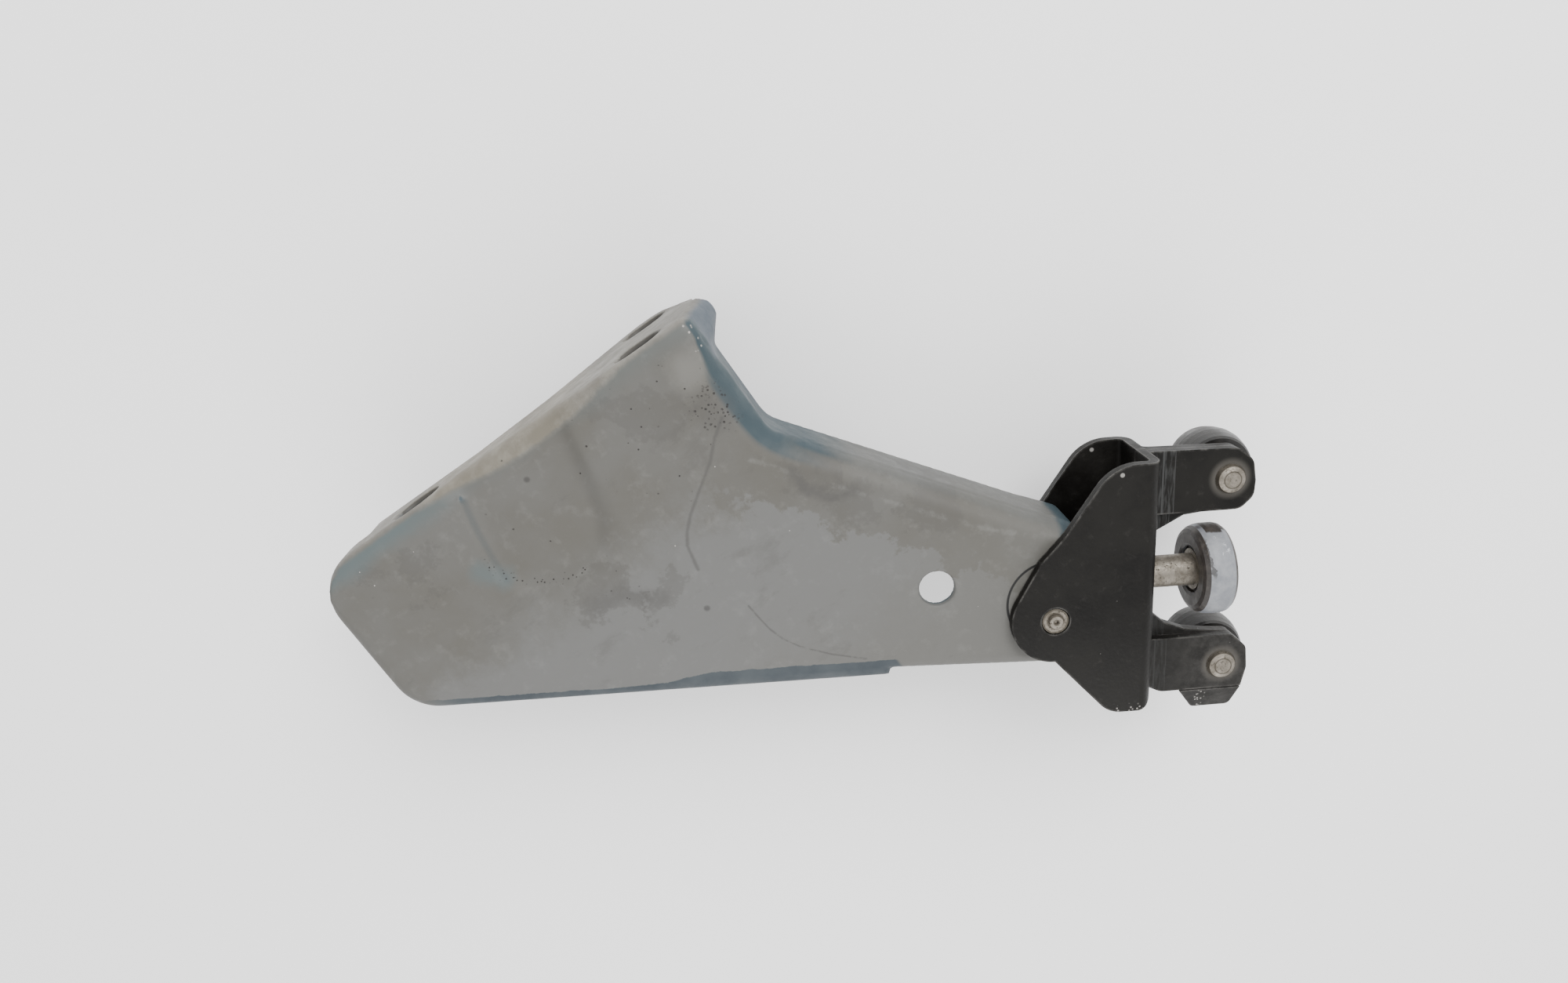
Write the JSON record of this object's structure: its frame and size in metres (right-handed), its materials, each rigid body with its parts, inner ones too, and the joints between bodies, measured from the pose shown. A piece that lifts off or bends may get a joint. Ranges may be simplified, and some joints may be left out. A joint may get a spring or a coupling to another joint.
{
  "type": "sliding door roller hinge",
  "caption": "Pressed-steel sliding-door hinge arm with slotted mounting flange and a pivoting carriage carrying guide rollers and a load roller.",
  "frame": {"origin": "mounting face, midway between the two bolt slots of the near row", "axes": "+X from the mounting face into the arm, +Y along the bolt slots towards the deep end of the flange, +Z along the pivot pin out of the arm's closed side"},
  "size_m": [0.2041, 0.2527, 0.0607],
  "materials": {
    "arm_primer": "matte",
    "carriage_black": "satin",
    "plated_steel": "satin",
    "bearing_steel": "polished",
    "bush_bronze": "satin",
    "guide_plastic": "matte",
    "load_plastic": "satin"
  },
  "bodies": {
    "arm": {"arm_shell": "arm_primer", "arm_tip_plate": "arm_primer", "flange_brace": "arm_primer", "pivot_knuckle": "arm_primer", "pivot_bush_near": "bush_bronze", "pivot_bush_far": "bush_bronze"},
    "carriage": {"carriage_front_plate": "carriage_black", "carriage_rear_plate": "carriage_black", "pivot_pin": "plated_steel", "pivot_clip": "plated_steel", "load_axle": "plated_steel", "load_bearing_inner_ring": "bearing_steel", "upper_guide_axle": "plated_steel", "upper_axle_collar": "plated_steel", "upper_bearing_inner_ring": "bearing_steel", "lower_guide_axle": "plated_steel", "lower_axle_collar": "plated_steel", "lower_bearing_inner_ring": "bearing_steel"},
    "upper_guide_roller": {"upper_bearing_balls": "bearing_steel", "upper_bearing_outer_ring": "bearing_steel", "upper_guide_tyre": "guide_plastic"},
    "lower_guide_roller": {"lower_bearing_balls": "bearing_steel", "lower_bearing_outer_ring": "bearing_steel", "lower_guide_tyre": "guide_plastic"},
    "load_roller": {"load_bearing_balls": "bearing_steel", "load_bearing_outer_ring": "bearing_steel", "load_tyre": "load_plastic"}
  },
  "joints": [
    {"name": "carriage_pivot", "type": "hinge", "parent": "arm", "child": "carriage", "pos_m": [0.1375, 0.094, -0.0025], "axis": [0, 0, 1], "range_deg": [-95, 38]},
    {"name": "upper_guide_spin", "type": "hinge", "parent": "carriage", "child": "upper_guide_roller", "pos_m": [0.13532, 0.16164, -0.0149], "axis": [0, 0, 1], "continuous": true},
    {"name": "lower_guide_spin", "type": "hinge", "parent": "carriage", "child": "lower_guide_roller", "pos_m": [0.18866, 0.13002, -0.0149], "axis": [0, 0, 1], "continuous": true},
    {"name": "load_spin", "type": "hinge", "parent": "carriage", "child": "load_roller", "pos_m": [0.15815, 0.14185, -0.0025], "axis": [0.521, 0.8536, 0], "continuous": true}
  ]
}
